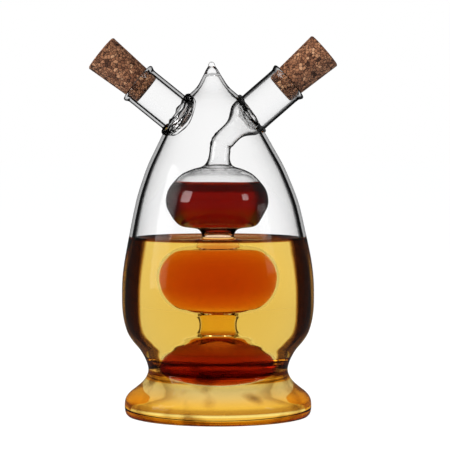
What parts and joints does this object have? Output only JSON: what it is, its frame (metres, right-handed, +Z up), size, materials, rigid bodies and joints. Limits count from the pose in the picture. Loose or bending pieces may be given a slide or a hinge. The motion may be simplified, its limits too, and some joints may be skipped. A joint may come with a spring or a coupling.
{
  "type": "oil and vinegar cruet",
  "caption": "Blown-glass oil and vinegar cruet: a rounded cone on a flared foot, with a stack of bulbs for vinegar hung inside it and slanted necks closed by tapered corks.",
  "frame": {"origin": "centre of the face that the foot rests on", "axes": "+Z up, +X towards the side of the neck that pours vinegar, -Y to the front"},
  "size_m": [0.1063, 0.0826, 0.163],
  "materials": {
    "clear_glass": "gloss",
    "oil": "gloss",
    "vinegar": "gloss",
    "cork": "matte"
  },
  "bodies": {
    "vessel": {"outer_body": "clear_glass", "outer_shoulder": "clear_glass", "outer_crown": "clear_glass", "foot": "clear_glass", "oil_neck": "clear_glass", "oil_neck_weld": "clear_glass", "vinegar_neck": "clear_glass", "vinegar_neck_weld": "clear_glass", "vinegar_riser": "clear_glass", "riser_arm": "clear_glass", "upper_bulb": "clear_glass", "upper_stem": "clear_glass", "middle_bulb": "clear_glass", "lower_stem": "clear_glass", "lower_bulb": "clear_glass", "oil": "oil", "vinegar": "vinegar"},
    "oil_stopper": {"oil_cork": "cork"},
    "vinegar_stopper": {"vinegar_cork": "cork"}
  },
  "joints": [
    {"name": "oil_cork_pull", "type": "slide", "parent": "vessel", "child": "oil_stopper", "axis": [-0.7771, 0, 0.6293], "range_m": [0, 0.03]},
    {"name": "vinegar_cork_pull", "type": "slide", "parent": "vessel", "child": "vinegar_stopper", "axis": [0.7547, 0, 0.6561], "range_m": [0, 0.03]}
  ]
}
